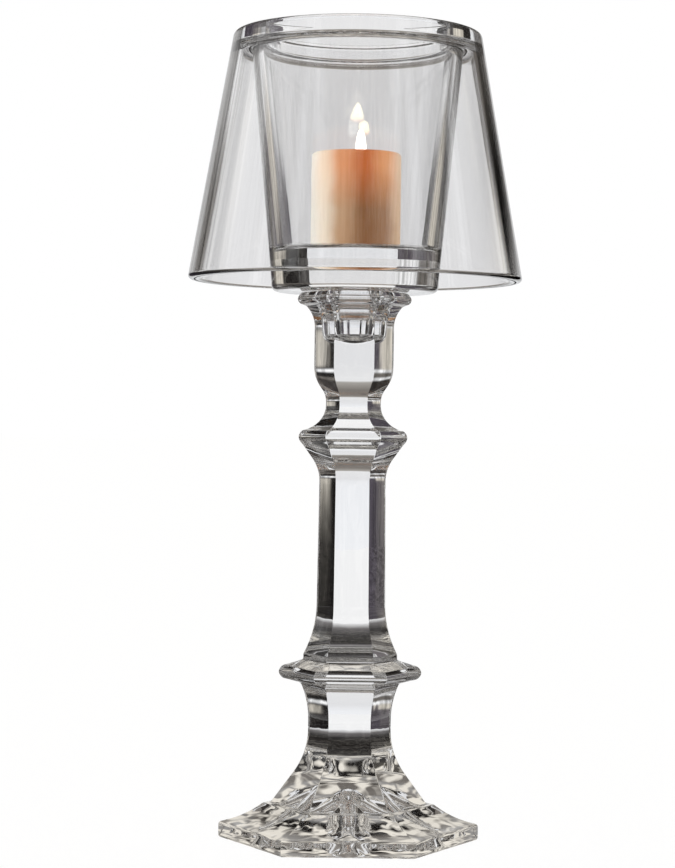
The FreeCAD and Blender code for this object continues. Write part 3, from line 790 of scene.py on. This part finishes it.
# ---------------------------------------------------------------- shade
# A thick cone of clear glass, open below. It hangs on the cup's rim by its crown, which turns in over the
# rim and has a shallow rebate that finds it.
HEM = 237.0
CROWN = 342.0
SEAT = 334.8
UNDER_CROWN = SEAT - 1.2
HEM_RADIUS, HEM_WALL, CROWN_RADIUS, CROWN_WALL = 71.1, 5.4, 52.6, 4.8
OPENING_RADIUS, REBATE_RADIUS = 38.8, 45.5
SHADE_SLOPE = (HEM_RADIUS - CROWN_RADIUS) / (CROWN - HEM)
inner_top = CROWN_RADIUS + SHADE_SLOPE * (CROWN - UNDER_CROWN) - CROWN_WALL
radius, height = rounded_profile([
    (HEM_RADIUS - HEM_WALL, HEM, 1.5), (HEM_RADIUS, HEM, 1.5), (CROWN_RADIUS, CROWN, 2.2),
    (OPENING_RADIUS, CROWN, 1.6), (OPENING_RADIUS, SEAT, 1.6), (REBATE_RADIUS, SEAT, 0.5),
    (REBATE_RADIUS, UNDER_CROWN, 0.5), (inner_top, UNDER_CROWN, 2.4)])
shade = link_object("shade_glass", surface_mesh("shade_glass", turned_rows(radius, height)))
mark_outer_wall(shade.data)
# The shade's outer wall takes a painted dark shade where it is met at a grazing angle.
shade.data.materials.append(clear_glass(
    "shade_glass", tint=(0.985, 0.985, 0.988), index=1.5, wave_size=24, stretch=0.4, fine_share=0.06,
    depth=0.00012, painted_edge_shade=(0.06, 0.056, 0.052)))
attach(shade, "shade")
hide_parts("shade")

# ---------------------------------------------------------------- candle
# An ivory votive of poured wax with a melted pool in its top. Light and shade are painted into its colour:
# a painted orange glow under the flame, and across its width from -X to +X painted room light, pale at both
# sides, and painted shade, deepest right of the middle.
WAX_FOOT = CUP_FLOOR + SEAT_GAP
WAX_HEIGHT = 41.7
WAX_TOP = WAX_FOOT + WAX_HEIGHT
WAX_RADIUS = 19.0
POOL_FLOOR = WAX_TOP - 2.0
WAX_POLE_HOLE = 0.5
TAB_RECESS = 0.1
radius, height = rounded_profile([
    (WAX_POLE_HOLE, WAX_FOOT + TAB_RECESS, 0), (9.4, WAX_FOOT, 0.05), (WAX_RADIUS, WAX_FOOT, 0.6),
    (WAX_RADIUS, WAX_TOP, 2.0), (13.4, WAX_TOP - 0.25, 0.8), (11.0, POOL_FLOOR, 1.4),
    (WAX_POLE_HOLE, POOL_FLOOR, 0)])
candle = link_object("candle_wax", surface_mesh(
    "candle_wax", turned_rows(radius, height, 120), ((0, 0, WAX_FOOT + TAB_RECESS), (0, 0, POOL_FLOOR))))

wax = bpy.data.materials.new("ivory_wax")
wax.use_nodes = True
nodes, links = wax.node_tree.nodes, wax.node_tree.links
shader = nodes["Principled BSDF"]


def run_math(kind, *values, clamp=False):
    """A Math node of the current material, fed with sockets or plain numbers."""
    node = nodes.new("ShaderNodeMath")
    node.operation = kind
    node.use_clamp = clamp
    for socket, number in zip(node.inputs, values):
        if isinstance(number, (int, float)):
            socket.default_value = number
        else:
            links.new(number, socket)
    return node.outputs[0]


def colour_ramp(factor, stops):
    """Colours laid along a factor from nought to one, given as place and linear colour."""
    ramp = nodes.new("ShaderNodeValToRGB")
    ramp.color_ramp.interpolation = "EASE"
    points = ramp.color_ramp.elements
    while len(points) < len(stops):
        points.new(0.5)
    for point, (place, colour) in zip(points, stops):
        point.position = place
        point.color = (*colour, 1)
    links.new(factor, ramp.inputs[0])
    return ramp.outputs[0]


def mix_colours(factor, first, second):
    """A Mix node between two colour sockets."""
    node = nodes.new("ShaderNodeMix")
    node.data_type = "RGBA"
    links.new(factor, node.inputs[0])
    links.new(first, node.inputs[6])
    links.new(second, node.inputs[7])
    return node.outputs[2]


place = nodes.new("ShaderNodeTexCoord")
apart = nodes.new("ShaderNodeSeparateXYZ")
links.new(place.outputs["Object"], apart.inputs[0])
cloud = nodes.new("ShaderNodeTexNoise")
cloud.inputs["Scale"].default_value = 90
cloud.inputs["Detail"].default_value = 2
links.new(place.outputs["Object"], cloud.inputs["Vector"])
drift = run_math("MULTIPLY", run_math("SUBTRACT", cloud.outputs["Fac"], 0.5), 0.10)
sideways = run_math("MULTIPLY_ADD", apart.outputs["X"], 1 / (2 * WAX_RADIUS * MM), 0.5)
across = run_math("ADD", sideways, drift, clamp=True)
upward = run_math("MULTIPLY_ADD", apart.outputs["Z"], 1 / (WAX_HEIGHT * MM), -WAX_FOOT / WAX_HEIGHT)
# Painted light and shade across the wax from -X to +X; the upper ramp adds a painted orange glow under the
# flame.
lower_painted_light = colour_ramp(across, [
    (0.0, (0.86, 0.83, 0.74)), (0.17, (0.78, 0.66, 0.52)), (0.34, (0.46, 0.27, 0.14)),
    (0.60, (0.205, 0.072, 0.008)), (0.80, (0.27, 0.13, 0.055)), (1.0, (0.62, 0.43, 0.28))])
upper_painted_light_and_glow = colour_ramp(across, [
    (0.0, (0.92, 0.86, 0.76)), (0.17, (0.88, 0.68, 0.50)), (0.33, (0.70, 0.28, 0.11)),
    (0.60, (0.50, 0.105, 0.004)), (0.80, (0.68, 0.29, 0.11)), (1.0, (0.70, 0.50, 0.34))])
rise = run_math("SMOOTH_MIN", run_math("MULTIPLY_ADD", upward, 2.2, -0.85, clamp=True), 1.0, 0.1)
wax_and_painted_light = mix_colours(rise, lower_painted_light, upper_painted_light_and_glow)
links.new(wax_and_painted_light, shader.inputs["Base Color"])
# The painted colours also glow faintly as emission, a painted glow that stands in for light on the wax.
links.new(wax_and_painted_light, shader.inputs["Emission Color"])
shader.inputs["Emission Strength"].default_value = 0.34
shader.inputs["Roughness"].default_value = 0.42
shader.inputs["Subsurface Weight"].default_value = 0.12
shader.inputs["Subsurface Radius"].default_value = (1.0, 0.45, 0.2)
shader.inputs["Subsurface Scale"].default_value = 0.004
pit = nodes.new("ShaderNodeTexNoise")
pit.inputs["Scale"].default_value = 420
pit.inputs["Detail"].default_value = 3
links.new(place.outputs["Object"], pit.inputs["Vector"])
bump = nodes.new("ShaderNodeBump")
bump.inputs["Strength"].default_value = 0.25
bump.inputs["Distance"].default_value = 0.0003
links.new(pit.outputs["Fac"], bump.inputs["Height"])
links.new(bump.outputs[0], shader.inputs["Normal"])
candle.data.materials.append(wax)
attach(candle, "candle")
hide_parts("candle")

# ---------------------------------------------------------------- wick and wick tab
# A braided cotton wick, charred where it stands above the wax, and the thin metal tab that holds its foot.
char = bpy.data.materials.new("charred_wick")
char.use_nodes = True
nodes, links = char.node_tree.nodes, char.node_tree.links
shader = nodes["Principled BSDF"]
place = nodes.new("ShaderNodeTexCoord")
braid = nodes.new("ShaderNodeTexWave")
braid.wave_type = "BANDS"
braid.bands_direction = "DIAGONAL"
braid.inputs["Scale"].default_value = 420
braid.inputs["Distortion"].default_value = 1.5
links.new(place.outputs["Object"], braid.inputs["Vector"])
apart = nodes.new("ShaderNodeSeparateXYZ")
links.new(place.outputs["Object"], apart.inputs[0])
CHAR_FADE = 2.0
burnt = run_math(
    "MULTIPLY_ADD", apart.outputs["Z"], 1 / (CHAR_FADE * MM), -POOL_FLOOR / CHAR_FADE, clamp=True)
cotton = colour_ramp(braid.outputs["Fac"], [(0.0, (0.62, 0.55, 0.43)), (1.0, (0.82, 0.77, 0.66))])
burnt_cotton = colour_ramp(braid.outputs["Fac"], [(0.0, (0.012, 0.009, 0.008)), (1.0, (0.06, 0.04, 0.03))])
links.new(mix_colours(burnt, cotton, burnt_cotton), shader.inputs["Base Color"])
shader.inputs["Roughness"].default_value = 0.9
bump = nodes.new("ShaderNodeBump")
bump.inputs["Strength"].default_value = 0.6
bump.inputs["Distance"].default_value = 0.0002
links.new(braid.outputs["Fac"], bump.inputs["Height"])
links.new(bump.outputs[0], shader.inputs["Normal"])
wick_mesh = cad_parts["wick"].data
wick_mesh.materials.clear()
wick_mesh.materials.append(char)

tin = bpy.data.materials.new("rolled_tin")
tin.use_nodes = True
nodes, links = tin.node_tree.nodes, tin.node_tree.links
shader = nodes["Principled BSDF"]
shader.inputs["Base Color"].default_value = (0.72, 0.72, 0.73, 1)
shader.inputs["Metallic"].default_value = 1.0
place = nodes.new("ShaderNodeTexCoord")
grain = nodes.new("ShaderNodeTexNoise")
grain.inputs["Scale"].default_value = 900
grain.inputs["Detail"].default_value = 2
links.new(place.outputs["Object"], grain.inputs["Vector"])
links.new(run_math("MULTIPLY_ADD", grain.outputs["Fac"], 0.25, 0.22), shader.inputs["Roughness"])
tab_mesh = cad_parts["wick_tab"].data
tab_mesh.materials.clear()
tab_mesh.materials.append(tin)

# ---------------------------------------------------------------- flame
# The lit flame over the wick, torn in three by a draught: a white tongue, a small lobe beside it and a loose
# one above, all soft at the rim. It is a look only and has no solid.
LOBE_ROWS, LOBE_COLUMNS = 60, 32
LOBE_END = 0.35
LOBE_LEAST_WIDTH = 0.02


def flame_rows(heights, middles, widths):
    """Points of a lobe: circles about a wandering middle line, whose radius swells and narrows with height.
    Both are softened by the bell curve 1 4 7 9 10 9 7 4 1, and the radius closes at each end by a square
    root."""
    level = np.linspace(heights[0], heights[-1], LOBE_ROWS)
    fine = np.linspace(0, len(heights) - 1, LOBE_ROWS)
    bell = np.array([1, 4, 7, 9, 10, 9, 7, 4, 1]) / 52
    reach = len(bell) // 2
    middle, width = (
        np.convolve(np.pad(np.interp(level, heights, line), reach, mode="edge"), bell, mode="valid")
        for line in (middles, widths))
    ends = np.sqrt(np.clip(np.minimum(fine, fine[::-1]) / LOBE_END, 0, 1))
    width = np.maximum(width * ends, LOBE_LEAST_WIDTH)
    turn = np.linspace(0, 2 * math.pi, LOBE_COLUMNS, endpoint=False)
    return np.stack([
        middle[:, None] + width[:, None] * np.cos(turn), width[:, None] * np.sin(turn),
        np.broadcast_to(level[:, None], (LOBE_ROWS, LOBE_COLUMNS))], axis=-1)


# Each lobe: heights over the flame's foot, the middle line's X and the radius at them, glow, the share of
# grazing at which the rim begins to fade, then its colours and its cover from foot to tip.
FLAME_FOOT = WAX_TOP - 0.6
FLAME = {
    "flame_tongue": (
        [-0.4, 1.5, 3.5, 6.0, 8.5, 10.3, 11.2], [1.75, 1.8, 1.8, 1.8, 1.8, 1.8, 1.8],
        [2.2, 2.5, 2.35, 2.1, 1.6, 1.0, 0.2], 3.6, 0.35,
        [(0.0, (1.0, 0.80, 0.40)), (0.15, (1.0, 0.95, 0.85)), (1.0, (1.0, 0.97, 0.85))],
        [(0.0, 1.0), (1.0, 1.0)]),
    "flame_side": (
        [8.0, 9.8, 11.6, 13.4, 14.6], [4.1, 3.4, 2.9, 2.9, 3.1], [0.9, 2.1, 2.35, 2.0, 0.3], 1.6, 0.2,
        [(0.0, (1.0, 0.70, 0.52)), (0.5, (1.0, 0.92, 0.72)), (1.0, (1.0, 0.91, 0.72))],
        [(0.0, 0.15), (0.5, 1.0)]),
    "flame_loose": (
        [13.0, 14.8, 16.5, 18.8, 20.5, 22.2], [1.0, 0.0, 0.05, 0.2, 0.3, 0.3],
        [1.9, 3.0, 2.8, 2.1, 1.4, 0.2], 1.6, 0.2,
        [(0.0, (1.0, 0.70, 0.60)), (0.35, (1.0, 0.92, 0.74)), (1.0, (1.0, 0.93, 0.76))],
        [(0.0, 0.05), (0.5, 1.0)]),
}
for name, (heights, middles, widths, strength, rim_start, colours, veil) in FLAME.items():
    rows = flame_rows(heights, middles, widths)
    rows[..., 2] += FLAME_FOOT
    poles = [tuple(rows[k].mean(axis=0)) for k in (0, -1)]
    flame = link_object(name, surface_mesh(name, rows, poles))
    look = bpy.data.materials.new(name)
    look.use_nodes = True
    nodes, links = look.node_tree.nodes, look.node_tree.links
    shader = nodes["Principled BSDF"]
    shader.inputs["Base Color"].default_value = (0, 0, 0, 1)
    shader.inputs["Roughness"].default_value = 1.0
    shader.inputs["Specular IOR Level"].default_value = 0.0
    shader.inputs["Emission Strength"].default_value = strength
    place = nodes.new("ShaderNodeTexCoord")
    apart = nodes.new("ShaderNodeSeparateXYZ")
    links.new(place.outputs["Object"], apart.inputs[0])
    tall = heights[-1] - heights[0]
    foot = FLAME_FOOT + heights[0]
    up = run_math("MULTIPLY_ADD", apart.outputs["Z"], 1 / (tall * MM), -foot / tall, clamp=True)
    links.new(colour_ramp(up, colours), shader.inputs["Emission Color"])
    rim = nodes.new("ShaderNodeLayerWeight")
    rim.inputs["Blend"].default_value = 0.5
    fade = 1 / (1 - rim_start)
    solid = run_math("MULTIPLY_ADD", rim.outputs["Facing"], -fade, fade, clamp=True)
    veil_ramp = colour_ramp(up, [(at, (share, share, share)) for at, share in veil])
    links.new(run_math("MULTIPLY", solid, veil_ramp), shader.inputs["Alpha"])
    flame.data.materials.append(look)
    flame.visible_shadow = False
    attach(flame, "candle")
